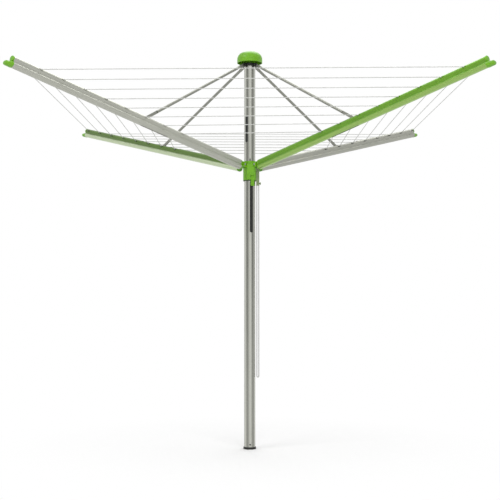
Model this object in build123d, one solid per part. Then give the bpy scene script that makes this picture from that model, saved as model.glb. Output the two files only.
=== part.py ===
"""Rotary clothesline: a mast, a sliding hub with four hollow arms, four struts and a spiral of line."""
from build123d import *
import math
import os

# Driving dimensions, in millimetres and degrees. The mast stands on Z = 0 and the front is -Y.

# Mast and foot
MAST_OD = 52.0
MAST_WALL = 2.0
MAST_TOP_Z = 1785.0
FOOT_LIP = 3.5
FOOT_FLANGE_H = 10.0
PLUG_DEPTH = 50.0

# Slots in the mast wall, each with a black liner behind it; their ends lie this far below the mast's top
SLOT_WIDTH = 14.0
LOWER_SLOT_AZ = 286.0
LOWER_SLOT_ENDS = (782.0, 542.0)
UPPER_SLOT_AZ = 235.0
UPPER_SLOT_ENDS = (360.0, 237.0)
LINER_THICKNESS = 3.0
LINER_LAP = 6.0

# Rivets through the mast wall
RIVET_SHANK_D = 4.0
RIVET_HEAD_D = 7.0
RIVET_HEAD_H = 1.4
FOOT_RIVET_AZ = 274.0
FOOT_RIVET_Z = 22.0
CROWN_RIVET_AZ = 245.0
CROWN_RIVET_DROP = 13.0

# Hub that slides on the mast
HUB_WALL = 3.0
BUSH_WALL = 1.6
BUSH_LENGTH = 20.0
BUSH_LIP_H = 3.0
BUSH_TAB_AZ = 273.0
BUSH_TAB_WIDTH = 5.0
BUSH_TAB_HEIGHT = 11.0
HUB_TOP_ABOVE_HINGE = 16.8
HUB_HEIGHT = 89.0
PANEL_AZ = 280.0
PANEL_WIDTH = 40.0
PANEL_HEIGHT = 76.0
PANEL_DEPTH = 6.5
PANEL_EDGE_R = 4.0

# Arm hinges on the hub
ARM_HINGE_BELOW_TOP = 465.2
ARM_HINGE_GAP = 0.55
ARM_RISE_DEG = 13.37
ARM_PIN_D = 8.0
ARM_EAR_R = 13.0
ARM_EAR_THICKNESS = 6.0
ARM_TONGUE_WIDTH = 16.0
ARM_TONGUE_R = 10.5

# Arm profile: a round chamber over a wider, flatter one, with a groove along the waist on each side
UPPER_R = 12.5
UPPER_UP = 4.0
LOWER_WIDTH = 34.0
LOWER_HEIGHT = 24.0
LOWER_DOWN = 18.0
WAIST_WIDTH = 21.0
WAIST_HEIGHT = 7.0
WAIST_DOWN = 5.7
PROFILE_WALL = 1.4
WEB_THICKNESS = 2.8
PROFILE_START = 24.0
PROFILE_LENGTH = 1248.0
ROOT_COLLAR_LENGTH = 4.0
ROOT_PLUG_LENGTH = 30.0
CAP_LIP = 0.8
CAP_TOP_LENGTH = 7.0
CAP_TOP_EDGE_R = 3.5
CAP_NOSE_LENGTH = 32.0
CAP_NOSE_WIDTH = 28.0
CAP_NOSE_HEIGHT = 19.0
CAP_NOSE_EDGE_R = 7.0

# Struts between the crown and the arms
STRUT_OD = 13.0
STRUT_WALL = 1.2
STRUT_PIN_T = 613.6
STRUT_PIN_D = 6.0
STRUT_FOOT_WIDTH = 6.0
STRUT_FOOT_EYE_R = 8.0
STRUT_FOOT_LENGTH = 84.0
STRUT_HEAD_OUT = 12.0
STRUT_HEAD_ABOVE_TOP = 4.0
STRUT_HEAD_PIN_D = 5.0
STRUT_HEAD_WIDTH = 8.0
STRUT_HEAD_EYE_R = 7.5
STRUT_HEAD_LENGTH = 30.0
STRUT_PLUG_LENGTH = 20.0

# Openings in the arm that the strut swings through, from its pin: a wide one above and a slit below
STRUT_GROOVE_GAP = 1.0
STRUT_GROOVE_INBOARD = 144.0
STRUT_GROOVE_OUTBOARD = 162.0
STRUT_SLIT_GAP = 0.5
STRUT_SLIT_INBOARD = 146.0
STRUT_SLIT_OUTBOARD = 8.0

# Crown and its cap
CROWN_LIP = 4.0
CROWN_FLANGE_H = 12.0
CROWN_EAR_THICKNESS = 4.0
CROWN_EAR_R = 8.0
CROWN_SPIGOT_R = 12.0
CROWN_SPIGOT_H = 28.0
CAP_RIM_R = 59.0
CAP_RIM_ABOVE_TOP = 16.0
CAP_HEIGHT = 53.0
CAP_FALL = 5.0
CAP_SHOULDER_R = 34.0
CAP_SHELL = 2.5
CAP_BOSS_WALL = 3.5

# Clothesline: one spiral that steps in by a quarter pitch at each arm
LINE_D = 3.2
LINE_TURNS = 8
LINE_PITCH = 107.6
LINE_TIP_MARGIN = 68.0
EYELET_LENGTH = 18.0
EYELET_HEIGHT = 4.6
EYELET_DEPTH = 1.5
EYELET_RIM = 0.9
EYELET_RECESS = 0.9
EYELET_RISE_DEG = 22.0

# How far the start and the end of the runs that leave each arm lie further out than in an even spiral
RUN_SHIFT = {
    "back_right": (56.0, 84.0),
    "front_right": (0.0, 0.0),
    "front_left": (94.0, 126.0),
    "back_left": (8.0, 8.0),
}

# Release lever in the hub's front panel
LEVER_AZ = 290.0
LEVER_WIDTH = 16.0
LEVER_PIN_D = 4.0
LEVER_PIN_ABOVE_HUB = 16.0
LEVER_DROP = 28.0
LEVER_EYE_R = 4.0
LEVER_LIP = 5.0
LEVER_SPRING_T = 0.8

# Pull cord and its guide on the hub's right-hand side
GUIDE_WIDTH = 16.0
GUIDE_DEPTH = 14.0
GUIDE_ABOVE_HUB = 56.0
GUIDE_BELOW_HUB = 23.0
GUIDE_EDGE_R = 4.0
CORD_D = 3.4
CORD_BORE_D = 4.2
CORD_BORE_DEPTH = 10.0
CORD_FROM_HUB = 2.45
CORD_SPACING = 9.0
CORD_LOW_Z = 331.0
KNOB_R = 6.0
KNOB_NECK_R = 3.5
KNOB_NECK_LENGTH = 2.0
KNOB_LENGTH = 5.0
KNOB_ABOVE_GUIDE_END = 9.0

# Clearances
SLIDE_GAP = 0.3
SEAT_GAP = 0.05
PIN_GAP = 0.05
SIDE_GAP = 0.3

# Values worked out from the driving dimensions
mast_r = MAST_OD / 2
mast_bore_r = mast_r - MAST_WALL
plug_r = mast_bore_r - SEAT_GAP
bush_bore_r = mast_r + SLIDE_GAP
hub_bore_r = bush_bore_r + BUSH_WALL + SEAT_GAP
hub_r = hub_bore_r + HUB_WALL
arm_hinge_z = MAST_TOP_Z - ARM_HINGE_BELOW_TOP
arm_hinge_r = hub_r + ARM_TONGUE_R + ARM_HINGE_GAP
strut_head_r = mast_r + STRUT_HEAD_OUT
strut_head_z = MAST_TOP_Z + STRUT_HEAD_ABOVE_TOP
cap_rim_z = MAST_TOP_Z + CAP_RIM_ABOVE_TOP
cap_top_z = cap_rim_z + CAP_HEIGHT
hub_top_z = arm_hinge_z + HUB_TOP_ABOVE_HINGE
hub_low_z = hub_top_z - HUB_HEIGHT
profile_end = PROFILE_START + PROFILE_LENGTH
groove_width = STRUT_OD + 2 * STRUT_GROOVE_GAP
cord_x = (hub_r + CORD_FROM_HUB, hub_r + CORD_FROM_HUB + CORD_SPACING)
slit_width = STRUT_FOOT_WIDTH + 2 * STRUT_SLIT_GAP
strut_pin_length = 2 * math.sqrt(UPPER_R**2 - UPPER_UP**2)
tall_cut = 4 * LOWER_HEIGHT
lift = Align.MIN
mid = Align.CENTER

# Arms by azimuth, in the order in which the line visits them
ARMS = {"back_right": 45.0, "front_right": 315.0, "front_left": 225.0, "back_left": 135.0}


def save(name, *shapes):
    """Writes one node, whose solids stay separate."""
    solids = [solid for shape in shapes for solid in shape.solids()]
    export_step(Compound(solids), f"parts/{name}.step")


def ring(outer, inner, z_low, height):
    """A plain tube about the mast's axis."""
    tube = Cylinder(outer, height, align=(mid, mid, lift)) - Cylinder(inner, height, align=(mid, mid, lift))
    return Pos(0, 0, z_low) * tube


def disc(radius, z_low, height):
    """A plain cylinder about the mast's axis."""
    return Pos(0, 0, z_low) * Cylinder(radius, height, align=(mid, mid, lift))


def cross_pin(radius, length):
    """A cylinder across an arm's plane, centred on the origin."""
    return Rot(90, 0, 0) * Cylinder(radius, length)


def rod(start, end, radius):
    """A cylinder from one point to another."""
    along = end - start
    return Plane(origin=start, z_dir=along) * Cylinder(radius, along.length, align=(mid, mid, lift))


def radial_slot(azimuth, z_low, z_high):
    """An upright slot with round ends, cut through the mast wall on one side."""
    straight = z_high - z_low - SLOT_WIDTH
    flat = SlotOverall(straight + SLOT_WIDTH, SLOT_WIDTH)
    cutter = extrude(Plane.YZ * (Rot(0, 0, 90) * flat), amount=MAST_OD)
    return Rot(0, 0, azimuth) * Pos(0, 0, (z_low + z_high) / 2) * cutter


def slot_liner(azimuth, z_low, z_high):
    """The curved black strip that backs a slot inside the mast."""
    height = z_high - z_low + 2 * LINER_LAP
    liner_r = mast_bore_r - SLIDE_GAP
    tube = ring(liner_r, liner_r - LINER_THICKNESS, z_low - LINER_LAP, height)
    keep = Box(MAST_OD, SLOT_WIDTH + 2 * LINER_LAP, height, align=(lift, mid, lift))
    return tube & (Rot(0, 0, azimuth) * Pos(0, 0, z_low - LINER_LAP) * keep)


def rivet_hole(azimuth, z):
    drill = Cylinder(RIVET_SHANK_D / 2, 3 * MAST_WALL)
    return Rot(0, 0, azimuth) * Pos(mast_r, 0, z) * Rot(0, 90, 0) * drill


def rivet(azimuth, z):
    """A shank through the mast wall and a low head outside it."""
    shank_length = MAST_WALL + SEAT_GAP
    shank = Cylinder(RIVET_SHANK_D / 2 - SEAT_GAP, shank_length, align=(mid, mid, lift))
    head = Pos(0, 0, shank_length) * Cylinder(RIVET_HEAD_D / 2, RIVET_HEAD_H, align=(mid, mid, lift))
    head = fillet(head.edges().group_by(Axis.Z)[-1], RIVET_HEAD_H / 2)
    return Rot(0, 0, azimuth) * Pos(mast_bore_r, 0, z) * Rot(0, 90, 0) * (shank + head)


def make_mast():
    """The tube, its foot plug, the rivets and the liners of its two slots."""
    rivets = [(FOOT_RIVET_AZ, FOOT_RIVET_Z), (CROWN_RIVET_AZ, MAST_TOP_Z - CROWN_RIVET_DROP)]
    slots = [(LOWER_SLOT_AZ, *[MAST_TOP_Z - end for end in LOWER_SLOT_ENDS])]
    slots += [(UPPER_SLOT_AZ, *[MAST_TOP_Z - end for end in UPPER_SLOT_ENDS])]
    tube = ring(mast_r, mast_bore_r, FOOT_FLANGE_H, MAST_TOP_Z - FOOT_FLANGE_H)
    for slot in slots:
        tube -= radial_slot(*slot)
    for place in rivets:
        tube -= rivet_hole(*place)
    save("mast_tube", tube)
    save("mast_rivets", *[rivet(*place) for place in rivets])
    save("lower_slot_liner", slot_liner(*slots[0]))
    save("upper_slot_liner", slot_liner(*slots[1]))
    flange = disc(mast_r + FOOT_LIP, 0, FOOT_FLANGE_H)
    flange = fillet(flange.edges().group_by(Axis.Z)[-1], FOOT_FLANGE_H / 5)
    save("foot_plug", flange + disc(plug_r, FOOT_FLANGE_H, PLUG_DEPTH))


def ear_pair(inner_gap, thickness, root_r, pivot_r, pivot_z, round_r):
    """Two upright cheeks on the +X side that carry a hinge pin across Y."""
    flat = Pos(pivot_r, pivot_z) * Circle(round_r)
    flat += Pos((root_r + pivot_r) / 2, pivot_z) * Rectangle(pivot_r - root_r, 2 * round_r)
    cheek = extrude(Plane.XZ * flat, amount=thickness / 2, both=True)
    offset = (inner_gap + thickness) / 2
    return (Pos(0, offset, 0) * cheek) + (Pos(0, -offset, 0) * cheek)


def make_crown():
    """The black head on the mast's top, its strut pins and the domed cap over it."""
    flange = disc(mast_r + CROWN_LIP, MAST_TOP_Z, CROWN_FLANGE_H)
    flange_top = MAST_TOP_Z + CROWN_FLANGE_H
    crown = flange + disc(plug_r, MAST_TOP_Z - PLUG_DEPTH, PLUG_DEPTH)
    crown += disc(CROWN_SPIGOT_R, flange_top, CROWN_SPIGOT_H)
    gap = STRUT_HEAD_WIDTH + 2 * SIDE_GAP
    ears = ear_pair(gap, CROWN_EAR_THICKNESS, mast_r + MAST_WALL, strut_head_r, strut_head_z, CROWN_EAR_R)
    hole = Pos(strut_head_r, 0, strut_head_z) * cross_pin(STRUT_HEAD_PIN_D / 2, 2 * MAST_OD)
    pin_length = gap + 2 * CROWN_EAR_THICKNESS
    pin = Pos(strut_head_r, 0, strut_head_z) * cross_pin(STRUT_HEAD_PIN_D / 2 - PIN_GAP, pin_length)
    for azimuth in ARMS.values():
        crown += Rot(0, 0, azimuth) * ears
    for azimuth in ARMS.values():
        crown -= Rot(0, 0, azimuth) * hole
    save("crown", crown)
    save("strut_head_pins", *[Rot(0, 0, azimuth) * pin for azimuth in ARMS.values()])

    shell = dome(0, cap_rim_z) - dome(CAP_SHELL, cap_rim_z)
    boss_bore = CROWN_SPIGOT_R + SEAT_GAP
    boss = ring(boss_bore + CAP_BOSS_WALL, boss_bore, flange_top, cap_top_z - CAP_SHELL - flange_top)
    boss &= dome(CAP_SHELL / 2, flange_top)
    save("crown_cap", shell + boss)


def dome(inset, rim_z):
    """A solid dome: an upright rim, then a round shoulder that runs in to a nearly flat top."""
    top_z = cap_top_z - inset
    rim_r = CAP_RIM_R - inset
    corners = [(0, top_z), (rim_r, top_z - CAP_FALL), (rim_r, rim_z)]
    brow = FilletPolyline(*corners, radius=CAP_SHOULDER_R - inset)
    close = Polyline((rim_r, rim_z), (0, rim_z), (0, top_z))
    return revolve(Plane.XZ * make_face([*brow.edges(), *close.edges()]), Axis.Z)


def make_hub():
    """The green sleeve with its arm hinges and lever pocket, its two bushes and the hinge pins."""
    sleeve = disc(hub_r, hub_low_z, HUB_HEIGHT)
    panel = Box(hub_r + PANEL_DEPTH, PANEL_WIDTH, PANEL_HEIGHT, align=(lift, mid, lift))
    front = panel.edges().filter_by(Axis.Z).group_by(Axis.X)[-1]
    rim = panel.faces().sort_by(Axis.X)[-1].edges().filter_by(Axis.Y)
    panel = fillet(front + rim, PANEL_EDGE_R)
    sleeve += Rot(0, 0, PANEL_AZ) * Pos(0, 0, hub_low_z) * panel
    gap = ARM_TONGUE_WIDTH + 2 * SIDE_GAP
    ears = ear_pair(gap, ARM_EAR_THICKNESS, hub_bore_r, arm_hinge_r, arm_hinge_z, ARM_EAR_R)
    clear_r = ARM_TONGUE_R + SIDE_GAP
    clear = cross_pin(clear_r, gap) + Box(2 * clear_r, gap, HUB_HEIGHT, align=(mid, mid, lift))
    clear = Pos(arm_hinge_r, 0, arm_hinge_z) * clear
    hole = Pos(arm_hinge_r, 0, arm_hinge_z) * cross_pin(ARM_PIN_D / 2, 2 * MAST_OD)
    pin_length = gap + 2 * ARM_EAR_THICKNESS
    pin = Pos(arm_hinge_r, 0, arm_hinge_z) * cross_pin(ARM_PIN_D / 2 - PIN_GAP, pin_length)
    for azimuth in ARMS.values():
        sleeve += Rot(0, 0, azimuth) * ears
    for azimuth in ARMS.values():
        sleeve -= Rot(0, 0, azimuth) * clear
        sleeve -= Rot(0, 0, azimuth) * hole
    sleeve -= disc(hub_bore_r, hub_low_z, HUB_HEIGHT)

    pocket_height = LEVER_PIN_ABOVE_HUB + LEVER_EYE_R + SIDE_GAP
    pocket = Box(MAST_OD, LEVER_WIDTH + 2 * SIDE_GAP, pocket_height, align=(lift, mid, lift))
    sleeve -= Rot(0, 0, LEVER_AZ) * Pos(hub_r, 0, hub_low_z) * pocket
    sleeve -= lever_place() * cross_pin(LEVER_PIN_D / 2, LEVER_WIDTH + PANEL_EDGE_R * 2)
    save("hub_sleeve", sleeve)
    save("arm_hinge_pins", *[Rot(0, 0, azimuth) * pin for azimuth in ARMS.values()])

    bush_r = bush_bore_r + BUSH_WALL
    lower = ring(bush_r, bush_bore_r, hub_low_z, BUSH_LENGTH)
    lower += ring(hub_r - SIDE_GAP, bush_bore_r, hub_low_z - BUSH_LIP_H, BUSH_LIP_H)
    save("hub_bush_lower", lower)
    upper = ring(bush_r, bush_bore_r, hub_top_z - BUSH_LENGTH, BUSH_LENGTH)
    tab = Box(MAST_OD, BUSH_TAB_WIDTH, BUSH_TAB_HEIGHT, align=(lift, mid, lift))
    tab = Rot(0, 0, BUSH_TAB_AZ) * Pos(0, 0, hub_top_z) * tab
    upper += ring(bush_r, bush_bore_r, hub_top_z, BUSH_TAB_HEIGHT) & tab
    save("hub_bush_upper", upper)


def lever_place():
    """The lever's pivot: X points out from the mast, Y lies along the pin."""
    out = hub_r + LEVER_EYE_R + SIDE_GAP
    return Rot(0, 0, LEVER_AZ) * Pos(out, 0, hub_low_z + LEVER_PIN_ABOVE_HUB)


def make_lever():
    """The release lever with its pin and the leaf spring behind it."""
    back = LEVER_SPRING_T + SIDE_GAP - LEVER_EYE_R
    face = LEVER_EYE_R
    low = -LEVER_PIN_ABOVE_HUB - LEVER_DROP
    under_hub = -LEVER_PIN_ABOVE_HUB - BUSH_LIP_H - SIDE_GAP
    toe = back - LEVER_SPRING_T - SIDE_GAP
    outline = Polyline(
        (back, 0),
        (back, under_hub),
        (toe, under_hub),
        (toe, low + LEVER_LIP),
        (toe + LEVER_LIP, low),
        (face + LEVER_LIP, low),
        (face + LEVER_LIP, low + LEVER_LIP / 2),
        (face, low + 2 * LEVER_LIP),
        (face, 0),
        (back, 0),
    )
    flat = make_face(outline) + Circle(LEVER_EYE_R)
    lever = extrude(Plane.XZ * flat, amount=LEVER_WIDTH / 2, both=True)
    lever -= cross_pin(LEVER_PIN_D / 2, 2 * LEVER_WIDTH)
    save("release_lever", lever_place() * lever)
    pin = cross_pin(LEVER_PIN_D / 2 - PIN_GAP, LEVER_WIDTH + PANEL_EDGE_R)
    save("lever_pin", lever_place() * pin)
    spring_height = LEVER_PIN_ABOVE_HUB - LEVER_EYE_R - SIDE_GAP
    leaf = Box(LEVER_SPRING_T, LEVER_WIDTH / 2, spring_height, align=(lift, mid, lift))
    leaf = Rot(0, 0, LEVER_AZ) * Pos(hub_r + SEAT_GAP, 0, hub_low_z) * leaf
    save("lever_spring", leaf)


def make_cord_guide():
    """The guide block, its knob and the pull cord that hangs from it in a long narrow loop."""
    low = hub_low_z - GUIDE_BELOW_HUB
    height = GUIDE_BELOW_HUB + GUIDE_ABOVE_HUB
    face_x = hub_r + GUIDE_DEPTH
    block = Box(face_x, GUIDE_WIDTH, height, align=(lift, mid, lift))
    block = fillet(block.edges().filter_by(Axis.Z).group_by(Axis.X)[-1], GUIDE_EDGE_R)
    block = Pos(0, 0, low) * block
    block -= disc(hub_r + SEAT_GAP, low, height)
    for x in cord_x:
        block -= Pos(x, 0, low) * Cylinder(CORD_BORE_D / 2, CORD_BORE_DEPTH, align=(mid, mid, lift))
    save("cord_guide", block)

    neck = Cylinder(KNOB_NECK_R, KNOB_NECK_LENGTH, align=(mid, mid, lift))
    head = Pos(0, 0, KNOB_NECK_LENGTH) * Cylinder(KNOB_R, KNOB_LENGTH, align=(mid, mid, lift))
    knob = fillet(head.edges().filter_by(GeomType.CIRCLE), KNOB_LENGTH / 4) + neck
    save("cord_knob", Pos(face_x, 0, low + KNOB_ABOVE_GUIDE_END) * Rot(0, 90, 0) * knob)

    top = low + CORD_BORE_DEPTH
    bend_r = CORD_SPACING / 2 - SEAT_GAP
    inner, outer = cord_x
    route = [(outer, 0, top), (outer, 0, CORD_LOW_Z), (inner, 0, CORD_LOW_Z), (inner, 0, top)]
    path = FilletPolyline(*route, radius=bend_r)
    section = Plane(origin=path @ 0, z_dir=path % 0) * Circle(CORD_D / 2)
    cord = sweep(section, path=path)
    ratio = cord.volume / (path.length * math.pi * CORD_D**2 / 4)
    print(f"pull cord: length {path.length:.0f} mm, bend {bend_r:.2f} mm, volume ratio {ratio:.5f}")
    save("pull_cord", cord)


def lobes(grow):
    """The round upper lobe and the flatter lower one, seen along the arm and grown by a distance."""
    upper = Pos(0, UPPER_UP) * Circle(UPPER_R + grow)
    return upper + Pos(0, -LOWER_DOWN) * Ellipse(LOWER_WIDTH / 2 + grow, LOWER_HEIGHT / 2 + grow)


def arm_outline():
    """The full section: two lobes and the waist between them."""
    return lobes(0) + Pos(0, -WAIST_DOWN) * Rectangle(WAIST_WIDTH, WAIST_HEIGHT)


def chambers(gap):
    """The two hollows of the profile with a web between them, or the plugs that fit them with a gap."""
    web = Pos(0, -WAIST_DOWN) * Rectangle(LOWER_WIDTH, WEB_THICKNESS + 2 * gap)
    return lobes(-PROFILE_WALL - gap) - web


def along_arm(flat, start, length):
    """Extrudes a section along the arm's own X axis."""
    return Pos(start, 0, 0) * extrude(Plane.YZ * flat, amount=length)


def arm_place(azimuth):
    """The arm's own frame: X runs out along the arm from its hinge, Z is its top side."""
    return Rot(0, 0, azimuth) * Pos(arm_hinge_r, 0, arm_hinge_z) * Rot(0, -ARM_RISE_DEG, 0)


def strut_opening(width, inboard, outboard, height):
    """A cutter with round ends, from the middle of the lower chamber up or down by a height."""
    flat = SlotOverall(inboard + outboard, width)
    return Pos(STRUT_PIN_T + (outboard - inboard) / 2, 0, -LOWER_DOWN) * extrude(flat, amount=height)


def arm_profile():
    """The extrusion, open above and below the strut so that the strut can swing through."""
    profile = along_arm(arm_outline() - chambers(0), PROFILE_START, PROFILE_LENGTH)
    profile -= strut_opening(groove_width, STRUT_GROOVE_INBOARD, STRUT_GROOVE_OUTBOARD, tall_cut)
    profile -= strut_opening(slit_width, STRUT_SLIT_INBOARD, STRUT_SLIT_OUTBOARD, -tall_cut)
    return profile - Pos(STRUT_PIN_T, 0, 0) * cross_pin(STRUT_PIN_D / 2, LOWER_WIDTH)


def arm_root():
    """The knuckle that plugs into the profile and turns between the hub's cheeks."""
    flat = Circle(ARM_TONGUE_R) + Pos(PROFILE_START / 2, 0) * Rectangle(PROFILE_START, 2 * ARM_TONGUE_R)
    root = extrude(Plane.XZ * flat, amount=ARM_TONGUE_WIDTH / 2, both=True)
    root += along_arm(arm_outline(), PROFILE_START - ROOT_COLLAR_LENGTH, ROOT_COLLAR_LENGTH)
    root += along_arm(chambers(SEAT_GAP), PROFILE_START, ROOT_PLUG_LENGTH)
    return root - cross_pin(ARM_PIN_D / 2, 2 * ARM_TONGUE_WIDTH)


def arm_cap():
    """The end cap: a short round top over a long nose that tapers down, plugged into the arm."""
    top = along_arm(Pos(0, UPPER_UP) * Circle(UPPER_R + CAP_LIP), profile_end, CAP_TOP_LENGTH)
    top = fillet(top.edges().sort_by(Axis.X)[-1], CAP_TOP_EDGE_R)
    root_ellipse = Ellipse(LOWER_WIDTH / 2 + CAP_LIP, LOWER_HEIGHT / 2 + CAP_LIP)
    underside = -LOWER_DOWN - LOWER_HEIGHT / 2 - CAP_LIP
    tip_ellipse = Pos(0, underside + CAP_NOSE_HEIGHT / 2) * Ellipse(CAP_NOSE_WIDTH / 2, CAP_NOSE_HEIGHT / 2)
    nose_root = Plane.YZ.offset(profile_end) * (Pos(0, -LOWER_DOWN) * root_ellipse)
    nose_tip = Plane.YZ.offset(profile_end + CAP_NOSE_LENGTH) * tip_ellipse
    nose = loft([nose_root.face(), nose_tip.face()])
    nose = fillet(nose.edges().sort_by(Axis.X)[-1], CAP_NOSE_EDGE_R)
    plugs = along_arm(chambers(SEAT_GAP), profile_end - ROOT_PLUG_LENGTH, ROOT_PLUG_LENGTH)
    return top + nose + plugs


def eyelet_point(arm_index, turn, side, shift):
    """Where the line comes out of an eyelet; side is 1 to the left going out along the arm, or -1."""
    first = profile_end - LINE_TIP_MARGIN - LINE_PITCH * arm_index / len(ARMS)
    along = first - LINE_PITCH * turn + shift
    reach = UPPER_R + SEAT_GAP + EYELET_DEPTH
    rise = math.radians(EYELET_RISE_DEG)
    across = side * reach * math.cos(rise)
    azimuth = list(ARMS.values())[arm_index]
    return (arm_place(azimuth) * Pos(along, across, UPPER_UP + reach * math.sin(rise))).position


def line_runs():
    """Each straight run of line as (arm it leaves, turn, arm it reaches, turn there)."""
    last = len(ARMS) - 1
    for turn in range(LINE_TURNS):
        for arm in range(last):
            yield arm, turn, arm + 1, turn
        yield last, turn, 0, turn + 1


def eyelet(side):
    """An oval eyelet with a recess: its face is at the origin, its back on the upper lobe's flank."""
    rim = 2 * EYELET_RIM
    plate = extrude(Plane.XZ * SlotOverall(EYELET_LENGTH, EYELET_HEIGHT), amount=EYELET_DEPTH)
    plate -= extrude(Plane.XZ * SlotOverall(EYELET_LENGTH - rim, EYELET_HEIGHT - rim), amount=EYELET_RECESS)
    return Rot(0, 0, 90 - side * 90) * Rot(EYELET_RISE_DEG, 0, 0) * plate


def make_arms():
    """Four arms, each with its root, cap, strut pin, eyelets and the half runs of line that it carries."""
    profile, root, cap = arm_profile(), arm_root(), arm_cap()
    strut_pin = Pos(STRUT_PIN_T, 0, 0) * cross_pin(STRUT_PIN_D / 2 - PIN_GAP, strut_pin_length)
    halves = {name: {1: [], -1: []} for name in ARMS}
    seats = {name: {1: [], -1: []} for name in ARMS}
    names = list(ARMS)
    total = 0.0
    for leaving, turn, reaching, turn_there in line_runs():
        start_shift, end_shift = RUN_SHIFT[names[leaving]]
        start = eyelet_point(leaving, turn, -1, start_shift)
        end = eyelet_point(reaching, turn_there, 1, end_shift)
        clear = (end - start).normalized() * (LINE_D / 2 + 2 * SIDE_GAP)
        middle = (start + end) / 2
        halves[names[leaving]][-1].append(rod(start + clear, middle, LINE_D / 2))
        halves[names[reaching]][1].append(rod(end - clear, middle, LINE_D / 2))
        seats[names[leaving]][-1].append(start)
        seats[names[reaching]][1].append(end)
        total += (end - start).length
    print(f"clothesline: {total / 1000:.1f} m in {LINE_TURNS} turns")
    for name, azimuth in ARMS.items():
        place = arm_place(azimuth)
        save(f"arm_profile_{name}", place * profile)
        save(f"arm_root_{name}", place * root)
        save(f"arm_cap_{name}", place * cap)
        save(f"strut_pin_{name}", place * strut_pin)
        turned = Rot(0, 0, azimuth) * Rot(0, -ARM_RISE_DEG, 0)
        eyelets = [Pos(point) * turned * eyelet(side) for side in (1, -1) for point in seats[name][side]]
        save(f"arm_eyelets_{name}", *eyelets)
        save(f"lines_left_{name}", *halves[name][1])
        save(f"lines_right_{name}", *halves[name][-1])


def strut_end(eye_r, width, pin_d, length, bore_r):
    """A flat eye and neck with a round plug that fits the strut's bore, along +X."""
    flat = Circle(eye_r) + Pos(length / 2, 0) * Rectangle(length, 2 * (STRUT_OD / 2 - SIDE_GAP))
    end = extrude(Plane.XZ * flat, amount=width / 2, both=True)
    end -= cross_pin(pin_d / 2, 2 * width)
    plug = Cylinder(bore_r - SEAT_GAP, STRUT_PLUG_LENGTH, align=(mid, mid, lift))
    return end + Pos(length, 0, 0) * Rot(0, 90, 0) * plug


def make_struts():
    """Four struts, hung from the crown, each with its head and foot."""
    rise = math.radians(ARM_RISE_DEG)
    reach = arm_hinge_r + STRUT_PIN_T * math.cos(rise) - strut_head_r
    drop = strut_head_z - arm_hinge_z - STRUT_PIN_T * math.sin(rise)
    span = math.hypot(reach, drop)
    bore_r = STRUT_OD / 2 - STRUT_WALL
    head = strut_end(STRUT_HEAD_EYE_R, STRUT_HEAD_WIDTH, STRUT_HEAD_PIN_D, STRUT_HEAD_LENGTH, bore_r)
    foot_bore = STRUT_PIN_D + 4 * PIN_GAP
    foot = strut_end(STRUT_FOOT_EYE_R, STRUT_FOOT_WIDTH, foot_bore, STRUT_FOOT_LENGTH, bore_r)
    foot = Pos(span, 0, 0) * Rot(0, 180, 0) * foot
    tube_length = span - STRUT_HEAD_LENGTH - STRUT_FOOT_LENGTH
    tube = Cylinder(STRUT_OD / 2, tube_length, align=(mid, mid, lift))
    tube -= Cylinder(bore_r, tube_length, align=(mid, mid, lift))
    tube = Pos(STRUT_HEAD_LENGTH, 0, 0) * Rot(0, 90, 0) * tube
    lean = math.degrees(math.atan2(drop, reach))
    for name, azimuth in ARMS.items():
        place = Rot(0, 0, azimuth) * Pos(strut_head_r, 0, strut_head_z) * Rot(0, lean, 0)
        save(f"strut_head_{name}", place * head)
        save(f"strut_tube_{name}", place * tube)
        save(f"strut_foot_{name}", place * foot)
    print(f"strut: {span:.1f} mm between pins, {lean:.2f} degrees below level")


os.makedirs("parts", exist_ok=True)
make_mast()
make_crown()
make_hub()
make_lever()
make_cord_guide()
make_arms()
make_struts()
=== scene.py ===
# %% [markdown]
# # A rotary clothesline
# The object is a garden clothesline: an aluminium mast, a green hub that slides on it, four hollow
# arms, four thin struts, a square spiral of line and a cord that hangs from the hub. The metal and
# plastic pieces come from the solid model as a fixed frame. Here they get their finishes, and the line,
# the cord and the pin heads are made as new pieces.

# %% Load the solid model
import math

import bpy
from mathutils import Euler, Matrix, Vector


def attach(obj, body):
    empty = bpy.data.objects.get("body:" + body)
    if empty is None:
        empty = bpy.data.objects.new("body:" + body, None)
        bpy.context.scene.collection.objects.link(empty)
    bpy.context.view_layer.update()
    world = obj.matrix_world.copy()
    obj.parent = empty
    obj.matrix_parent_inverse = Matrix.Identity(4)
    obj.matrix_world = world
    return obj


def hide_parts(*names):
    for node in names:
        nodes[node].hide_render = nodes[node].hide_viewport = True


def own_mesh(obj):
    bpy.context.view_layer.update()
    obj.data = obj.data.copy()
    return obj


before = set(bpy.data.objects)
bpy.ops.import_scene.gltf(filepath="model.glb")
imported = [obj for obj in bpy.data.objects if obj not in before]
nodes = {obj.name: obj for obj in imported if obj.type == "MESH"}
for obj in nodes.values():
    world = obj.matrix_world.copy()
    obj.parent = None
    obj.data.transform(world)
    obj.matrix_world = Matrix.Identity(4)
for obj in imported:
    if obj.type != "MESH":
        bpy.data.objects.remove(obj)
scene = bpy.context.scene
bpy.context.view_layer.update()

# %% [markdown]
# ## The camera
# The picture was taken from not quite five metres in front, at about the height of a table, with a long
# lens tilted up slightly. Those values were solved from the edges of the arms, their ends and the marks
# on the mast, so the render lies over the photograph.

# %% Camera
CAMERA_PLACE = (0.0012, -4.7923, 0.7459)
CAMERA_TILT = 2.108  # degrees above level
CAMERA_LENS = 73.91  # mm, as is the sensor
SENSOR_WIDTH = 36.0
SIGHT_LIMIT = 60.0

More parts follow.
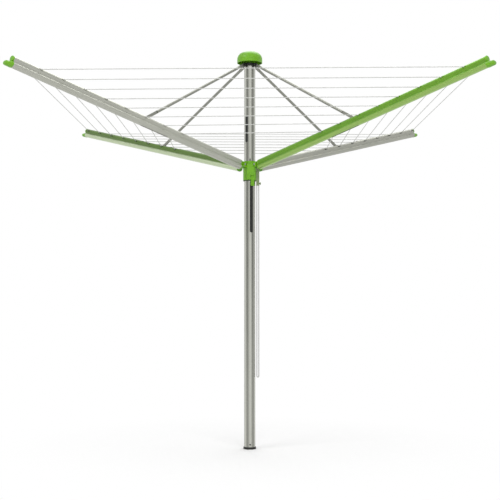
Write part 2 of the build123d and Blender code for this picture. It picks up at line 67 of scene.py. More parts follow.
camera_data = bpy.data.cameras.new("camera")
camera_data.lens = CAMERA_LENS
camera_data.sensor_width = SENSOR_WIDTH
camera_data.clip_end = SIGHT_LIMIT
camera = bpy.data.objects.new("camera", camera_data)
camera.location = CAMERA_PLACE
camera.rotation_euler = Euler((math.radians(90 + CAMERA_TILT), 0, 0))
scene.collection.objects.link(camera)
scene.camera = camera
scene.view_settings.view_transform = "Standard"
print("camera at", CAMERA_PLACE, "with a lens of", CAMERA_LENS, "mm")

# %% [markdown]
# ## Colours and nodes
# Every finish below is a node tree. Colours are written as they look on a screen, in hex, and Blender
# mixes light in linear values, so one function turns the first into the second. A second function adds
# a node, sets it up and links it, which keeps each finish short enough to read.

# %% Helpers for finishes
MM = 0.001


def linear(hex_colour):
    """A screen colour such as #72B524 as linear red, green, blue and full alpha."""
    values = [int(hex_colour[i:i + 2], 16) / 255 for i in (1, 3, 5)]
    return [v / 12.92 if v <= 0.04045 else ((v + 0.055) / 1.055) ** 2.4 for v in values] + [1.0]


def add(tree, kind, inputs=None, **settings):
    """Adds a node; inputs maps a socket's name or number to a value, a node or another node's output."""
    node = tree.nodes.new(kind)
    for key, value in settings.items():
        setattr(node, key, value)
    for key, value in (inputs or {}).items():
        if isinstance(value, bpy.types.Node):
            value = value.outputs[0]
        if isinstance(value, bpy.types.NodeSocket):
            tree.links.new(value, node.inputs[key])
        else:
            node.inputs[key].default_value = value
    return node


def new_finish(name):
    """A new material and its emptied node tree."""
    material = bpy.data.materials.new(name)
    material.use_nodes = True
    material.node_tree.nodes.clear()
    return material, material.node_tree


print("#72B524 in linear values:", [round(value, 3) for value in linear("#72B524")])

# %% [markdown]
# ## Directions of the tubes
# Aluminium tube is pushed through a die, which leaves fine streaks along it. The streaks have to run
# along each tube, so each direction gets its own copy of the finish: the mast is upright, an arm rises
# away from the hub, and a strut falls away from the crown. The angles and the place of the hinges are
# those of the solid model.

# %% The arms and their directions
ARMS = {"back_right": 45.0, "front_right": 315.0, "front_left": 225.0, "back_left": 135.0}
ARM_RISE = 13.37  # degrees, as are the arms' azimuths above
STRUT_FALL = 28.57
HINGE_OUT = 42.0 * MM
HINGE_UP = 1319.8 * MM

UPRIGHT = (0, math.radians(-90), 0)


def arm_turn(name):
    """How an arm is turned from lying along X."""
    return (0, math.radians(-ARM_RISE), math.radians(ARMS[name]))


def strut_turn(name):
    """How a strut is turned from lying along X."""
    return (0, math.radians(STRUT_FALL), math.radians(ARMS[name]))


def hinge_place(name):
    """A level frame at an arm's hinge: X points away from the mast and Y lies along the pin."""
    turned = Matrix.Rotation(math.radians(ARMS[name]), 4, "Z")
    return turned @ Matrix.Translation((HINGE_OUT, 0, HINGE_UP))


def arm_place(name):
    """The arm's own frame: X runs out along the arm, Y to its left side and Z to its top."""
    return hinge_place(name) @ Matrix.Rotation(math.radians(-ARM_RISE), 4, "Y")


print("arms rise", ARM_RISE, "degrees, struts fall", STRUT_FALL, "degrees")

# %% [markdown]
# ## Anodised aluminium
# The mast, two of the arms and the struts are extruded aluminium with a satin anodised skin. The skin
# scatters what it reflects, so it looks like an even, slightly warm grey with soft bright and dark
# bands. Streaks along the tube vary its gloss, and cloudy patches vary its tone. A flat grey would miss
# both, so two noises are stretched along each tube and mixed. On the mast, broad pale and dark upright
# bands are painted into the tone as a wave around its axis, with a pale band near the front: a painted
# reflection of the bright and dark parts of the room.

# %% Anodised aluminium
STREAK = (260 * MM, 1.8 * MM, 1.8 * MM)  # real die lines are finer than this, and would not show
CLOUD = (110 * MM, 30 * MM, 30 * MM)
CLOUD_SHARE = 0.4  # of the tone, and the streaks set the rest
STREAK_GLOSS = (-0.07, 0.08)  # how far the streaks take the roughness down and up
DIE_LINE_DEPTH = 0.03 * MM
REFLECTION_BANDS_FROM = 276.0  # azimuth of the middle of one pale band of painted reflection, in degrees
REFLECTION_BAND_SHARE = 0.65  # of the mast's tone, and clouds and streaks set the rest
# The back-right arm's tones are darker than the front-left's: painted shade on that arm.
SILVER_ARMS = {"front_left": ("#A9AAA0", "#C3C4BA"), "back_right": ("#9B9C93", "#B5B6AC")}


def anodised(name, turn, dark, light, roughness, reflection_bands=0):
    """Satin metal with clouds, streaks along the tube, and a given number of painted reflection bands
    around it.
    """
    material, tree = new_finish(name)
    place = add(tree, "ShaderNodeTexCoord").outputs["Object"]
    long_cells = {"Vector": place, "Rotation": turn, "Scale": STREAK}
    streak_place = add(tree, "ShaderNodeMapping", long_cells, vector_type="TEXTURE")
    streak = add(tree, "ShaderNodeTexNoise", {"Vector": streak_place, "Scale": 1.0, "Detail": 4.0})
    wide_cells = {"Vector": place, "Rotation": turn, "Scale": CLOUD}
    cloud_place = add(tree, "ShaderNodeMapping", wide_cells, vector_type="TEXTURE")
    cloud = add(tree, "ShaderNodeTexNoise", {"Vector": cloud_place, "Scale": 1.0, "Detail": 2.0})
    tone = add(tree, "ShaderNodeMix", {0: CLOUD_SHARE, 2: streak, 3: cloud})
    # pale and dark upright bands around the tube: a painted reflection
    if reflection_bands:
        side = add(tree, "ShaderNodeSeparateXYZ", {"Vector": place}).outputs
        angle = add(tree, "ShaderNodeMath", {0: side["Y"], 1: side["X"]}, operation="ARCTAN2")
        back = -reflection_bands * math.radians(REFLECTION_BANDS_FROM)
        phase = add(tree, "ShaderNodeMath", {0: angle, 1: reflection_bands, 2: back}, operation="MULTIPLY_ADD")
        wave = add(tree, "ShaderNodeMath", {0: phase}, operation="COSINE")
        pale = add(tree, "ShaderNodeMapRange", {"Value": wave, "From Min": -1.0})
        tone = add(tree, "ShaderNodeMix", {0: REFLECTION_BAND_SHARE, 2: tone, 3: pale})
    tones = {0: tone, 6: linear(dark), 7: linear(light)}
    colour = add(tree, "ShaderNodeMix", tones, data_type="RGBA").outputs[2]
    finest, coarsest = (roughness + step for step in STREAK_GLOSS)
    gloss = add(tree, "ShaderNodeMapRange", {"Value": streak, "To Min": finest, "To Max": coarsest})
    relief = add(tree, "ShaderNodeBump", {"Height": streak, "Distance": DIE_LINE_DEPTH})
    skin = {"Base Color": colour, "Metallic": 0.9, "Roughness": gloss, "Normal": relief}
    shader = add(tree, "ShaderNodeBsdfPrincipled", skin)
    add(tree, "ShaderNodeOutputMaterial", {"Surface": shader})
    return material


mast_metal = anodised("anodised_mast", UPRIGHT, "#777871", "#CBCCC3", roughness=0.22, reflection_bands=6)
arm_metal = {}
for arm, (dark, light) in SILVER_ARMS.items():
    arm_metal[arm] = anodised(f"anodised_arm_{arm}", arm_turn(arm), dark, light, roughness=0.42)
strut_metal = {}
for arm in ARMS:
    turn = strut_turn(arm)
    strut_metal[arm] = anodised(f"anodised_strut_{arm}", turn, "#7F8079", "#A3A49B", roughness=0.40)
print("metal finishes:", 1 + len(arm_metal) + len(strut_metal))

# %% [markdown]
# ## Powder-coated green
# Two arms carry a green powder coat with metal flake, so they darken and brighten across their round
# sides as metal does. Baked powder flows into a skin with a faint orange-peel ripple a few millimetres
# across, and a clear gloss over it draws a thin bright band along the arm's edges. The lower chamber
# is painted much paler, so a light band runs along the underside: a painted highlight, set for each arm
# where that arm's underside catches the light. The back-left arm's greens are darker, as painted shade.
# The flake is a half-metallic base, the gloss is a clear coat, and the ripple is a small bump.

# %% Powder coat
PEEL = (2.6 * MM, 2.6 * MM, 2.6 * MM)
PEEL_DEPTH = 0.03 * MM
PEEL_GLOSS = (0.28, 0.40)
PALE_FLAKE = 0.85  # how metallic the pale chamber is
GREEN_FLAKE = 0.45
GREEN_EDGE = 3.0 * MM  # how softly the green runs out


def powder_coat(name, turn, hinge, low, dark, light, pale):
    """Green flake over a lower chamber painted pale as a highlight, with an orange-peel skin under a
    clear gloss.
    """
    material, tree = new_finish(name)
    place = add(tree, "ShaderNodeTexCoord").outputs["Object"]
    own_frame = {"Vector": place, "Location": hinge, "Rotation": turn}
    own_place = add(tree, "ShaderNodeMapping", own_frame, vector_type="TEXTURE")
    height = add(tree, "ShaderNodeSeparateXYZ", {"Vector": own_place}).outputs["Z"]
    rising = {"Value": height, "From Min": low - GREEN_EDGE, "From Max": low}
    upper = add(tree, "ShaderNodeMapRange", rising)
    peel_place = add(tree, "ShaderNodeMapping", {"Vector": place, "Scale": PEEL}, vector_type="TEXTURE")
    peel = add(tree, "ShaderNodeTexNoise", {"Vector": peel_place, "Scale": 1.0, "Detail": 1.0})
    wide_cells = {"Vector": place, "Rotation": turn, "Scale": CLOUD}
    cloud_place = add(tree, "ShaderNodeMapping", wide_cells, vector_type="TEXTURE")
    cloud = add(tree, "ShaderNodeTexNoise", {"Vector": cloud_place, "Scale": 1.0, "Detail": 2.0})
    tones = {0: cloud, 6: linear(dark), 7: linear(light)}
    green = add(tree, "ShaderNodeMix", tones, data_type="RGBA").outputs[2]
    # the pale lower chamber is a painted highlight
    levels = {0: upper, 6: linear(pale), 7: green}
    colour = add(tree, "ShaderNodeMix", levels, data_type="RGBA").outputs[2]
    flakes = {"Value": upper, "To Min": PALE_FLAKE, "To Max": GREEN_FLAKE}
    flake = add(tree, "ShaderNodeMapRange", flakes)
    gloss_range = {"Value": peel, "To Min": PEEL_GLOSS[0], "To Max": PEEL_GLOSS[1]}
    gloss = add(tree, "ShaderNodeMapRange", gloss_range)
    relief = add(tree, "ShaderNodeBump", {"Height": peel, "Distance": PEEL_DEPTH})
    skin = {"Base Color": colour, "Metallic": flake, "Roughness": gloss, "Normal": relief}
    skin |= {"Coat Weight": 0.4, "Coat Roughness": 0.12}
    shader = add(tree, "ShaderNodeBsdfPrincipled", skin)
    add(tree, "ShaderNodeOutputMaterial", {"Surface": shader})
    return material


# For each green arm: how low the green reaches on it, its dark and light green, and its pale underside,
# which is a painted highlight; the back-left arm's darker greens are painted shade
GREENS = {
    "front_right": (-15.0 * MM, "#598C0E", "#6DA418", "#93B65E"),
    "back_left": (-6.5 * MM, "#46631A", "#5A7C26", "#BDCBA8"),
}
arm_coat = {}
for arm, greens in GREENS.items():
    hinge = arm_place(arm).to_translation()
    arm_coat[arm] = powder_coat(f"green_powder_coat_{arm}", arm_turn(arm), hinge, *greens)
print("powder-coated arms:", len(arm_coat))

# %% [markdown]
# ## Moulded plastics
# The cap, hub, knuckles and end caps are injection-moulded plastic: an even colour with a fine spark
# texture from the mould, and soft streaks where the melt flowed. The crown, the foot, the bushes and the
# back arms' eyelets are the same kind of plastic in black, and the cord's guide is a dull grey green. One
# function makes all three, because only the colour, the gloss and the depth of the grain differ.

# %% Moulded plastics
SPARK = (0.9 * MM, 0.9 * MM, 0.9 * MM)  # the mould's grain, drawn about twice as coarse so that it shows
FLOW = (28 * MM, 28 * MM, 11 * MM)
FLOW_GLOSS = (-0.06, 0.08)  # how far the streaks take the roughness down and up


def moulded(name, dark, light, roughness, depth):
    """Plastic with flow streaks in its tone and gloss, and a spark grain of a given depth."""
    material, tree = new_finish(name)
    place = add(tree, "ShaderNodeTexCoord").outputs["Object"]
    spark_place = add(tree, "ShaderNodeMapping", {"Vector": place, "Scale": SPARK}, vector_type="TEXTURE")
    spark = add(tree, "ShaderNodeTexNoise", {"Vector": spark_place, "Scale": 1.0, "Detail": 2.0})
    flow_place = add(tree, "ShaderNodeMapping", {"Vector": place, "Scale": FLOW}, vector_type="TEXTURE")
    flow = add(tree, "ShaderNodeTexNoise", {"Vector": flow_place, "Scale": 1.0, "Detail": 3.0})
    tones = {0: flow, 6: linear(dark), 7: linear(light)}
    colour = add(tree, "ShaderNodeMix", tones, data_type="RGBA").outputs[2]
    finest, coarsest = (roughness + step for step in FLOW_GLOSS)
    gloss = add(tree, "ShaderNodeMapRange", {"Value": flow, "To Min": finest, "To Max": coarsest})
    relief = add(tree, "ShaderNodeBump", {"Height": spark, "Distance": depth})
    skin = {"Base Color": colour, "Roughness": gloss, "Normal": relief, "IOR": 1.49}
    shader = add(tree, "ShaderNodeBsdfPrincipled", skin)
    add(tree, "ShaderNodeOutputMaterial", {"Surface": shader})
    return material


GREEN_GRAIN = 0.02 * MM
DULL_GRAIN = 0.03 * MM

green_plastic = moulded("green_moulded_plastic", "#5A9606", "#71AE12", 0.36, GREEN_GRAIN)
black_plastic = moulded("black_moulded_plastic", "#0C0E0C", "#1C1F1B", 0.46, DULL_GRAIN)
sage_plastic = moulded("grey_green_moulded_plastic", "#76845E", "#919F78", 0.50, DULL_GRAIN)
print("plastics:", green_plastic.name, black_plastic.name, sage_plastic.name)

# %% [markdown]
# ## Steel pins
# The hinge pins are zinc-plated steel. Only their ends show, as small bright dots, so a bright metal
# with a few millimetres of smudging is enough.

# %% Zinc-plated steel
SMUDGE = (4 * MM, 4 * MM, 4 * MM)
SMUDGE_GLOSS = (0.22, 0.40)


def zinc_plate(name):
    """Bright plated steel, slightly smudged."""
    material, tree = new_finish(name)
    place = add(tree, "ShaderNodeTexCoord").outputs["Object"]
    cells = add(tree, "ShaderNodeMapping", {"Vector": place, "Scale": SMUDGE}, vector_type="TEXTURE")
    smudge = add(tree, "ShaderNodeTexNoise", {"Vector": cells, "Scale": 1.0, "Detail": 3.0})
    tones = {0: smudge, 6: linear("#8E9092"), 7: linear("#B9BBBC")}
    colour = add(tree, "ShaderNodeMix", tones, data_type="RGBA").outputs[2]
    gloss_range = {"Value": smudge, "To Min": SMUDGE_GLOSS[0], "To Max": SMUDGE_GLOSS[1]}
    gloss = add(tree, "ShaderNodeMapRange", gloss_range)
    skin = {"Base Color": colour, "Metallic": 1.0, "Roughness": gloss}
    shader = add(tree, "ShaderNodeBsdfPrincipled", skin)
    add(tree, "ShaderNodeOutputMaterial", {"Surface": shader})
    return material


steel = zinc_plate("zinc_plated_steel")
print("pins:", steel.name)

# %% [markdown]
# ## Finishes for the solid pieces
# Each solid piece keeps its shape and takes one finish, chosen by its name. The eyelets are black on the
# back arms and match the arm on the front ones, where they hardly show.

# %% Give each solid piece its finish
MAST_AND_HUB = (
    (mast_metal, ("mast_tube",)),
    (green_plastic, ("crown_cap", "hub_sleeve", "release_lever")),
    (sage_plastic, ("cord_guide", "cord_knob")),
    (steel, ("strut_head_pins", "arm_hinge_pins", "lever_pin", "lever_spring")),
    (black_plastic, ("foot_plug", "mast_rivets", "crown", "hub_bush_lower", "hub_bush_upper")),
    (black_plastic, ("lower_slot_liner", "upper_slot_liner")),
)
finishes = {name: material for material, names in MAST_AND_HUB for name in names}
for arm in ARMS:
    arm_finish = arm_coat.get(arm) or arm_metal[arm]
    for name in ("arm_profile", "strut_pin"):
        finishes[f"{name}_{arm}"] = arm_finish
    for name in ("arm_root", "arm_cap"):
        finishes[f"{name}_{arm}"] = green_plastic
    finishes[f"arm_eyelets_{arm}"] = arm_finish if arm.startswith("front") else black_plastic
    for name in ("strut_head", "strut_tube", "strut_foot"):
        finishes[f"{name}_{arm}"] = strut_metal[arm]
for name, material in finishes.items():
    mesh = nodes[name].data
    mesh.materials.clear()
    mesh.materials.append(material)
print("finished solid pieces:", len(finishes))

# %% [markdown]
# ## A tube along a path
# The line and the cord are both round and follow a path, so one Geometry Nodes tree makes both. It
# turns edges into curves, notes how far along the curve each point lies and which way it faces, sweeps
# a circle along, and stores those two values so that a pattern can follow the tube.

# %% Geometry Nodes tree for a round line
def new_tree(name, **sizes):
    """An empty geometry tree with a geometry input and named size inputs."""
    tree = bpy.data.node_groups.new(name, "GeometryNodeTree")
    tree.interface.new_socket("Geometry", in_out="INPUT", socket_type="NodeSocketGeometry")
    for size, kind in sizes.items():
        tree.interface.new_socket(size, in_out="INPUT", socket_type=kind)
    tree.interface.new_socket("Geometry", in_out="OUTPUT", socket_type="NodeSocketGeometry")
    return tree, add(tree, "NodeGroupInput").outputs


def end_tree(tree, geometry, material):
    """Closes a tree: real geometry, its finish, and the output."""
    real = add(tree, "GeometryNodeRealizeInstances", {"Geometry": geometry})
    painted = add(tree, "GeometryNodeSetMaterial", {"Geometry": real, "Material": material})
    add(tree, "NodeGroupOutput", {0: painted})


def round_line_tree(name, material):
    """Sweeps a circle along every edge path, and keeps the place along and around it as attributes."""
    tree, given = new_tree(name, Radius="NodeSocketFloat", Sides="NodeSocketInt")
    path = add(tree, "GeometryNodeMeshToCurve", {"Mesh": given["Geometry"]})
    length = add(tree, "GeometryNodeSplineParameter").outputs["Length"]
    measured = {"Geometry": path, "Name": "along", "Value": length}
    along = add(tree, "GeometryNodeStoreNamedAttribute", measured)
    circle = {"Resolution": given["Sides"], "Radius": given["Radius"]}
    ring = add(tree, "GeometryNodeCurvePrimitiveCircle", circle)
    place = add(tree, "GeometryNodeInputPosition")
    faced = {"Geometry": ring, "Name": "around", "Value": place}
    around = add(tree, "GeometryNodeStoreNamedAttribute", faced, data_type="FLOAT_VECTOR")
    sweep = {"Curve": along, "Profile Curve": around, "Fill Caps": True}
    tube = add(tree, "GeometryNodeCurveToMesh", sweep)
    end_tree(tree, add(tree, "GeometryNodeSetShadeSmooth", {"Geometry": tube}), material)
    return tree


def grown(name, tree, points, edges=(), faces=(), **sizes):
    """Runs a geometry tree on a seed mesh and returns the result as a plain mesh object at the origin."""
    seed = bpy.data.meshes.new(name)
    seed.from_pydata([tuple(p) for p in points], edges, faces)
    source = bpy.data.objects.new(name + "_source", seed)
    scene.collection.objects.link(source)
    modifier = source.modifiers.new("grow", "NODES")
    modifier.node_group = tree
    for item in tree.interface.items_tree:
        if item.in_out == "INPUT" and item.name in sizes:
            modifier[item.identifier] = sizes[item.name]
    bpy.context.view_layer.update()
    solved = source.evaluated_get(bpy.context.evaluated_depsgraph_get())
    made = bpy.data.meshes.new_from_object(solved)
    bpy.data.objects.remove(source)
    piece = bpy.data.objects.new(name, made)
    scene.collection.objects.link(piece)
    return piece


print("helpers for round lines:", round_line_tree.__name__, "and", grown.__name__)

# %% [markdown]
# ## The clothesline
# The line is a stranded core in a smooth sheath of soft vinyl, about three millimetres thick. The core
# shows through as a very faint twist, and the sheath is pale grey with slight grime. It runs taut from
# eyelet to eyelet in a square spiral. Each run is made as two halves that meet in the middle, because
# each half has to move with its own arm.

# %% Vinyl-sheathed line
LINE_LAY = 9 * MM
LINE_STRANDS = 3.0
GRIME = (60 * MM, 60 * MM, 60 * MM)
GRIME_GLOSS = (0.30, 0.48)
TWIST_DEPTH = 0.1 * MM


def sheathed(name, dark, light):
    """Soft vinyl with a faint twist that repeats once for each lay of the core."""
    material, tree = new_finish(name)
    along = add(tree, "ShaderNodeAttribute", attribute_name="along").outputs["Fac"]
    around = add(tree, "ShaderNodeAttribute", attribute_name="around").outputs["Vector"]
    side = add(tree, "ShaderNodeSeparateXYZ", {"Vector": around}).outputs
    angle = add(tree, "ShaderNodeMath", {0: side[1], 1: side[0]}, operation="ARCTAN2")
    turns = add(tree, "ShaderNodeMath", {0: along, 1: math.tau / LINE_LAY}, operation="MULTIPLY")
    twisted = {0: angle, 1: LINE_STRANDS, 2: turns}
    phase = add(tree, "ShaderNodeMath", twisted, operation="MULTIPLY_ADD")
    twist = add(tree, "ShaderNodeMath", {0: phase}, operation="SINE")
    relief = add(tree, "ShaderNodeBump", {"Height": twist, "Distance": TWIST_DEPTH})
    place = add(tree, "ShaderNodeTexCoord").outputs["Object"]
    cells = add(tree, "ShaderNodeMapping", {"Vector": place, "Scale": GRIME}, vector_type="TEXTURE")
    grime = add(tree, "ShaderNodeTexNoise", {"Vector": cells, "Scale": 1.0, "Detail": 2.0})
    tones = {0: grime, 6: linear(dark), 7: linear(light)}
    colour = add(tree, "ShaderNodeMix", tones, data_type="RGBA").outputs[2]
    gloss_range = {"Value": grime, "To Min": GRIME_GLOSS[0], "To Max": GRIME_GLOSS[1]}
    gloss = add(tree, "ShaderNodeMapRange", gloss_range)
    skin = {"Base Color": colour, "Roughness": gloss, "Normal": relief, "IOR": 1.53}
    shader = add(tree, "ShaderNodeBsdfPrincipled", skin)
    add(tree, "ShaderNodeOutputMaterial", {"Surface": shader})
    return material


line_vinyl = sheathed("vinyl_sheathed_line", "#A9AAA6", "#C9CAC6")
line_tree = round_line_tree("round_line", line_vinyl)
print("line finish:", line_vinyl.name)

# %% Where the line crosses each arm
LINE_RADIUS = 1.6 * MM
LINE_SIDES = 10
LINE_TURNS = 8
LINE_PITCH = 107.6 * MM
FIRST_CROSSING = 1204.0 * MM
# How far out the start and the end of the runs that leave each arm lie, beyond an even spiral
RUN_SHIFT = {
    "back_right": (56.0 * MM, 84.0 * MM),
    "front_right": (0.0, 0.0),
    "front_left": (94.0 * MM, 126.0 * MM),
    "back_left": (8.0 * MM, 8.0 * MM),
}
EYELET_SIDE = 13.03 * MM  # the middle of an eyelet, in the arm's own frame
EYELET_UP = 9.26 * MM
EYELET_DIP = 1.0 * MM  # how deep each end of a run lies in the eyelet's recess

order = list(ARMS)  # as the spiral visits the arms


def crossing(visit, side, shift):
    """The eyelet at one visit of the spiral to an arm; visits are counted from the line's outer end."""
    along_arm = FIRST_CROSSING - LINE_PITCH * visit / len(order) + shift
    return arm_place(order[visit % len(order)]) @ Vector((along_arm, side * EYELET_SIDE, EYELET_UP))


halves = {(arm, side): [] for arm in order for side in (1, -1)}
for visit in range(LINE_TURNS * len(order)):
    leaving = order[visit % len(order)]
    reaching = order[(visit + 1) % len(order)]
    start_shift, end_shift = RUN_SHIFT[leaving]
    start = crossing(visit, -1, start_shift)
    end = crossing(visit + 1, 1, end_shift)
    middle = (start + end) / 2
    dip = (end - start).normalized() * EYELET_DIP
    halves[leaving, -1].append((start - dip, middle))
    halves[reaching, 1].append((end + dip, middle))
total = sum((b - a).length for runs in halves.values() for a, b in runs)
print(f"line: {total:.1f} m in {LINE_TURNS} turns")

# %% [markdown]
# When the clothesline folds, the real line is drawn into the arms. Each half run becomes a piece of its
# own on its arm's body, and takes the place of that arm's line in the solid model.

for (arm, side), runs in halves.items():
    hand = "left" if side > 0 else "right"
    points = [p for run in runs for p in run]
    edges = [(2 * i, 2 * i + 1) for i in range(len(runs))]
    line = grown(f"line_{hand}_{arm}", line_tree, points, edges, Radius=LINE_RADIUS, Sides=LINE_SIDES)
    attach(line, f"arm_{arm}")
    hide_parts(f"lines_{hand}_{arm}")
    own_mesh(line)
print("line pieces:", len(halves))

# %% [markdown]
# ## The pull cord
# A limp cord hangs from the guide on the hub in one long narrow loop; pulling it opens the
# clothesline. It is a soft braid, so it hangs dead straight and turns tightly at the bottom. Its route
# is a smooth spline with a few control points, and the tube and its braid follow that spline.

# %% Braided cord finish
BRAID_STEP = 4.5 * MM
BRAID_RIBS = 4.0
BRAID_DEPTH = 0.35 * MM


def braided(name, dark, light):
    """Two families of slanted ribs that cross, as in a braid, with a soft sheen and painted shade in the
    grooves.
    """
    material, tree = new_finish(name)
    along = add(tree, "ShaderNodeAttribute", attribute_name="along").outputs["Fac"]
    around = add(tree, "ShaderNodeAttribute", attribute_name="around").outputs["Vector"]
    side = add(tree, "ShaderNodeSeparateXYZ", {"Vector": around}).outputs
    angle = add(tree, "ShaderNodeMath", {0: side[1], 1: side[0]}, operation="ARCTAN2")
    turns = add(tree, "ShaderNodeMath", {0: along, 1: math.tau / BRAID_STEP}, operation="MULTIPLY")
    ribs = []
    for lean in (BRAID_RIBS, -BRAID_RIBS):
        phase = add(tree, "ShaderNodeMath", {0: angle, 1: lean, 2: turns}, operation="MULTIPLY_ADD")
        ribs.append(add(tree, "ShaderNodeMath", {0: phase}, operation="SINE"))
    weave = add(tree, "ShaderNodeMath", {0: ribs[0], 1: ribs[1]}, operation="MAXIMUM")
    height = add(tree, "ShaderNodeMapRange", {"Value": weave, "From Min": -1.0})
    # the low parts of the weave are painted darker: painted shade in the grooves between the ribs
    tones = {0: height, 6: linear(dark), 7: linear(light)}
    colour = add(tree, "ShaderNodeMix", tones, data_type="RGBA").outputs[2]
    relief = add(tree, "ShaderNodeBump", {"Height": height, "Distance": BRAID_DEPTH})
    skin = {"Base Color": colour, "Roughness": 0.85, "Normal": relief}
    skin |= {"Sheen Weight": 0.25, "Sheen Roughness": 0.5}
    shader = add(tree, "ShaderNodeBsdfPrincipled", skin)
    add(tree, "ShaderNodeOutputMaterial", {"Surface": shader})
    return material


cord_braid = braided("braided_cord", "#72726C", "#A0A09A")
print("cord finish:", cord_braid.name)

# %% Make the pull cord
CORD_DIAMETER = 3.4 * MM
CORD_SIDES = 12
CORD_STEPS = 24  # points that the spline gives for each stretch of the route
CORD_OUTER = 42.4 * MM
CORD_INNER = 33.4 * MM
CORD_TOP = 1234.6 * MM
CORD_LOW = 331.0 * MM
CORD_TURN = 9.0 * MM

route = [
    (CORD_OUTER, 0, CORD_TOP),
    (CORD_OUTER, 0, CORD_LOW + CORD_TURN),
    (CORD_OUTER, 0, CORD_LOW),
    (CORD_INNER, 0, CORD_LOW),
    (CORD_INNER, 0, CORD_LOW + CORD_TURN),
    (CORD_INNER, 0, CORD_TOP),
]
route_curve = bpy.data.curves.new("cord_route", "CURVE")
route_curve.dimensions = "3D"
route_curve.resolution_u = CORD_STEPS
spline = route_curve.splines.new("NURBS")
spline.points.add(len(route) - 1)
for point, place in zip(spline.points, route):
    point.co = (*place, 1.0)
spline.order_u = 3
spline.use_endpoint_u = True
route_object = bpy.data.objects.new("cord_route", route_curve)
scene.collection.objects.link(route_object)
cord_path = [v.co.copy() for v in bpy.data.meshes.new_from_object(route_object).vertices]
bpy.data.objects.remove(route_object)

cord_tree = round_line_tree("round_cord", cord_braid)
links = [(i, i + 1) for i in range(len(cord_path) - 1)]
cord = grown("hanging_pull_cord", cord_tree, cord_path, links, Radius=CORD_DIAMETER / 2, Sides=CORD_SIDES)
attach(cord, "hub")
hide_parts("pull_cord")
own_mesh(cord)

# %% [markdown]
# ## Pin heads
# The pins at the hub are closed with a low domed head on either side, like a rivet. The pins in the arms
# end flush and are coated with the arm. The heads are all alike, so Geometry Nodes puts a flattened ball
# on each of a few small seed faces and turns it to the way the face looks. The ear that the pin goes
# through hides the ball's inner half.

# %% Geometry Nodes tree for pin heads
def pin_head_tree(name, material):
    """A flattened ball on every seed face, standing out along the face's normal."""
    tree, given = new_tree(name, Radius="NodeSocketFloat", Height="NodeSocketFloat")
    facing = add(tree, "GeometryNodeInputNormal")
    turn = add(tree, "FunctionNodeAlignRotationToVector", {"Vector": facing}, axis="Z")
    kept = add(tree, "GeometryNodeCaptureAttribute", {"Geometry": given["Geometry"]}, domain="FACE")
    kept.capture_items.new("ROTATION", "turn")
    tree.links.new(turn.outputs[0], kept.inputs["turn"])
    sites = add(tree, "GeometryNodeMeshToPoints", {"Mesh": kept}, mode="FACES")
    ball = add(tree, "GeometryNodeMeshUVSphere", {"Segments": 20, "Rings": 10, "Radius": 1.0})
    smooth = add(tree, "GeometryNodeSetShadeSmooth", {"Geometry": ball})
    size = {"X": given["Radius"], "Y": given["Radius"], "Z": given["Height"]}
    heads = {"Points": sites, "Instance": smooth, "Rotation": kept.outputs["turn"]}
    heads["Scale"] = add(tree, "ShaderNodeCombineXYZ", size)
    end_tree(tree, add(tree, "GeometryNodeInstanceOnPoints", heads), material)
    return tree


head_tree = pin_head_tree("domed_pin_heads", steel)
SEED_CORNERS = 3
SEED_SIZE = 1.0 * MM


def pin_heads(name, body, places, half_width, radius, height):
    """Heads on both ends of pins; a place is a frame whose Y axis lies along the pin."""
    corners = []
    faces = []
    for place in places:
        for side in (1, -1):
            first = len(corners)
            for step in range(SEED_CORNERS):
                spin = side * step * math.tau / SEED_CORNERS
                across, up = math.sin(spin) * SEED_SIZE, math.cos(spin) * SEED_SIZE
                corners.append(place @ Vector((across, side * half_width, up)))
            faces.append(tuple(range(first, first + SEED_CORNERS)))
    heads = grown(name, head_tree, corners, faces=faces, Radius=radius, Height=height)
    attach(heads, body)
    return heads


print("pin head tree:", head_tree.name)

# %% Put heads on the arm pins
ARM_PIN_HALF = 14.3 * MM
HEAD_HEIGHT = 1.6 * MM
ARM_PIN_HEAD = 5.5 * MM

hinges = [hinge_place(arm) for arm in ARMS]
heads = pin_heads("arm_pin_heads", "hub", hinges, ARM_PIN_HALF, ARM_PIN_HEAD, HEAD_HEIGHT)
print("pin heads:", 2 * len(hinges), "with", len(heads.data.vertices), "points")

# %% [markdown]
# ## Floor and light
# The photograph is a plain studio picture on white. The floor is matt white near the object, where it
# takes a soft shadow, and fades to the white of the backdrop further out. Broad soft lamps light the
# object from the front, the left and above. What metal mirrors is the same white room, with grey walls
# low down on both sides of the camera, which is what gives round metal its darker bands. The key lamp
# stands close to the camera and isn't mirrored, because it would draw a white stripe down the mast.

# %% Floor
FLOOR_REACH = 20.0
SHADOW_FROM = 0.15
SHADOW_TO = 1.3


def studio_floor():
    """Matt white paint near the object that fades to plain white further out."""
    material, tree = new_finish("studio_floor")
    paint = add(tree, "ShaderNodeBsdfDiffuse", {"Color": linear("#F4F4F4")})
    glow = add(tree, "ShaderNodeEmission", {"Color": (1, 1, 1, 1), "Strength": 1.0})
    place = add(tree, "ShaderNodeTexCoord").outputs["Object"]
    reach = add(tree, "ShaderNodeVectorMath", {0: place}, operation="LENGTH").outputs["Value"]
    fade = {"Value": reach, "From Min": SHADOW_FROM, "From Max": SHADOW_TO}
    far = add(tree, "ShaderNodeMapRange", fade, interpolation_type="SMOOTHSTEP")
    seen = add(tree, "ShaderNodeLightPath").outputs
    direct = {0: seen["Is Camera Ray"], 1: seen["Is Glossy Ray"]}
    mirrored = add(tree, "ShaderNodeMath", direct, operation="MAXIMUM")
    through = {0: mirrored, 1: seen["Is Transmission Ray"]}
    shown = add(tree, "ShaderNodeMath", through, operation="MAXIMUM")
    share = add(tree, "ShaderNodeMath", {0: far, 1: shown}, operation="MULTIPLY")
    mixed = add(tree, "ShaderNodeMixShader", {0: share, 1: paint, 2: glow})
    add(tree, "ShaderNodeOutputMaterial", {"Surface": mixed})
    return material


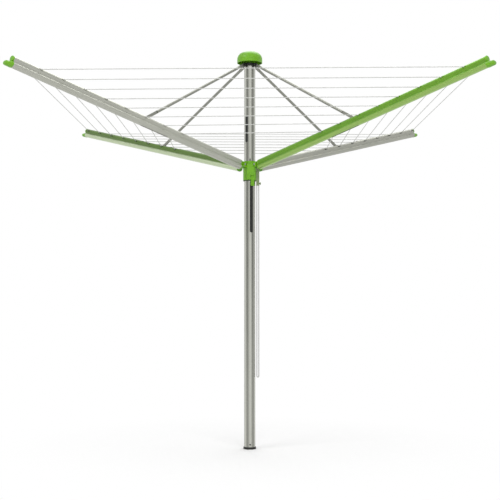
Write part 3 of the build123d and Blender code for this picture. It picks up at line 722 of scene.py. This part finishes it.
SQUARE = ((-1, -1), (1, -1), (1, 1), (-1, 1))
corners = [(x * FLOOR_REACH, y * FLOOR_REACH, 0) for x, y in SQUARE]
floor_mesh = bpy.data.meshes.new("floor")
floor_mesh.from_pydata(corners, [], [tuple(range(len(corners)))])
floor_mesh.materials.append(studio_floor())
floor = bpy.data.objects.new("floor", floor_mesh)
scene.collection.objects.link(floor)
print("floor reaches", FLOOR_REACH, "m")

# %% Room
ROOM_FOR_SHADE = 0.60  # how bright the room is for matt surfaces
WALL_GREY = 0.36  # how bright the walls are, where the mirrored room is 1
WALL_AHEAD = 0.5  # how far the walls stand towards the camera, as the Y part of a direction
WALL_SIDES = (0.10, 0.42)  # where a wall starts to fade and is gone, across it
WALL_LEVELS = (0.06, 0.34)  # the same above and below level

world = bpy.data.worlds.new("studio")
world.use_nodes = True
scene.world = world
tree = world.node_tree
tree.nodes.clear()
look = add(tree, "ShaderNodeTexCoord").outputs["Generated"]
way = add(tree, "ShaderNodeSeparateXYZ", {"Vector": look}).outputs
ahead = add(tree, "ShaderNodeMath", {0: way["Y"], 1: WALL_AHEAD}, operation="ADD")
depth = add(tree, "ShaderNodeMath", {0: ahead}, operation="ABSOLUTE")
steep = add(tree, "ShaderNodeMath", {0: way["Z"]}, operation="ABSOLUTE")
sides = {"Value": depth, "From Min": WALL_SIDES[0], "From Max": WALL_SIDES[1]}
off_side = add(tree, "ShaderNodeMapRange", sides)
levels = {"Value": steep, "From Min": WALL_LEVELS[0], "From Max": WALL_LEVELS[1]}
off_level = add(tree, "ShaderNodeMapRange", levels)
open_room = add(tree, "ShaderNodeMath", {0: off_side, 1: off_level}, operation="MAXIMUM")
mirror = add(tree, "ShaderNodeMapRange", {"Value": open_room, "To Min": WALL_GREY, "To Max": 1.0})
seen = add(tree, "ShaderNodeLightPath").outputs
bounced = {0: seen["Is Glossy Ray"], 1: seen["Is Transmission Ray"]}
mirrored = add(tree, "ShaderNodeMath", bounced, operation="MAXIMUM")
lit = add(tree, "ShaderNodeMix", {0: mirrored, 2: ROOM_FOR_SHADE, 3: mirror})
strength = add(tree, "ShaderNodeMix", {0: seen["Is Camera Ray"], 2: lit, 3: 1.0})
back = add(tree, "ShaderNodeBackground", {"Color": (1, 1, 1, 1), "Strength": strength})
add(tree, "ShaderNodeOutputWorld", {"Surface": back})
print("room strength for shade:", ROOM_FOR_SHADE)

# %% Lamps
# Each lamp: its place, the height on the mast that it faces, its width in metres, its power in watts,
# and whether metal and gloss mirror it
LAMPS = {
    "key": ((0.9, -4.8, 3.4), 1.2, 3.4, 105, False),
    "fill": ((-3.0, -2.6, 4.6), 1.0, 2.4, 60, True),
    "top": ((0.4, 1.5, 4.6), 1.2, 3.0, 70, True),
}


def soft_lamp(name, place, aim, size, power, mirrored):
    """A square soft box that faces a point on the mast."""
    data = bpy.data.lights.new(name, "AREA")
    data.shape = "SQUARE"
    data.size = size
    data.energy = power
    lamp = bpy.data.objects.new(name, data)
    lamp.location = place
    beam = Vector((0, 0, aim)) - Vector(place)
    lamp.rotation_euler = beam.to_track_quat("-Z", "Y").to_euler()
    lamp.visible_glossy = mirrored
    scene.collection.objects.link(lamp)


for name, settings in LAMPS.items():
    soft_lamp(name, *settings)
print("lamps:", ", ".join(LAMPS))
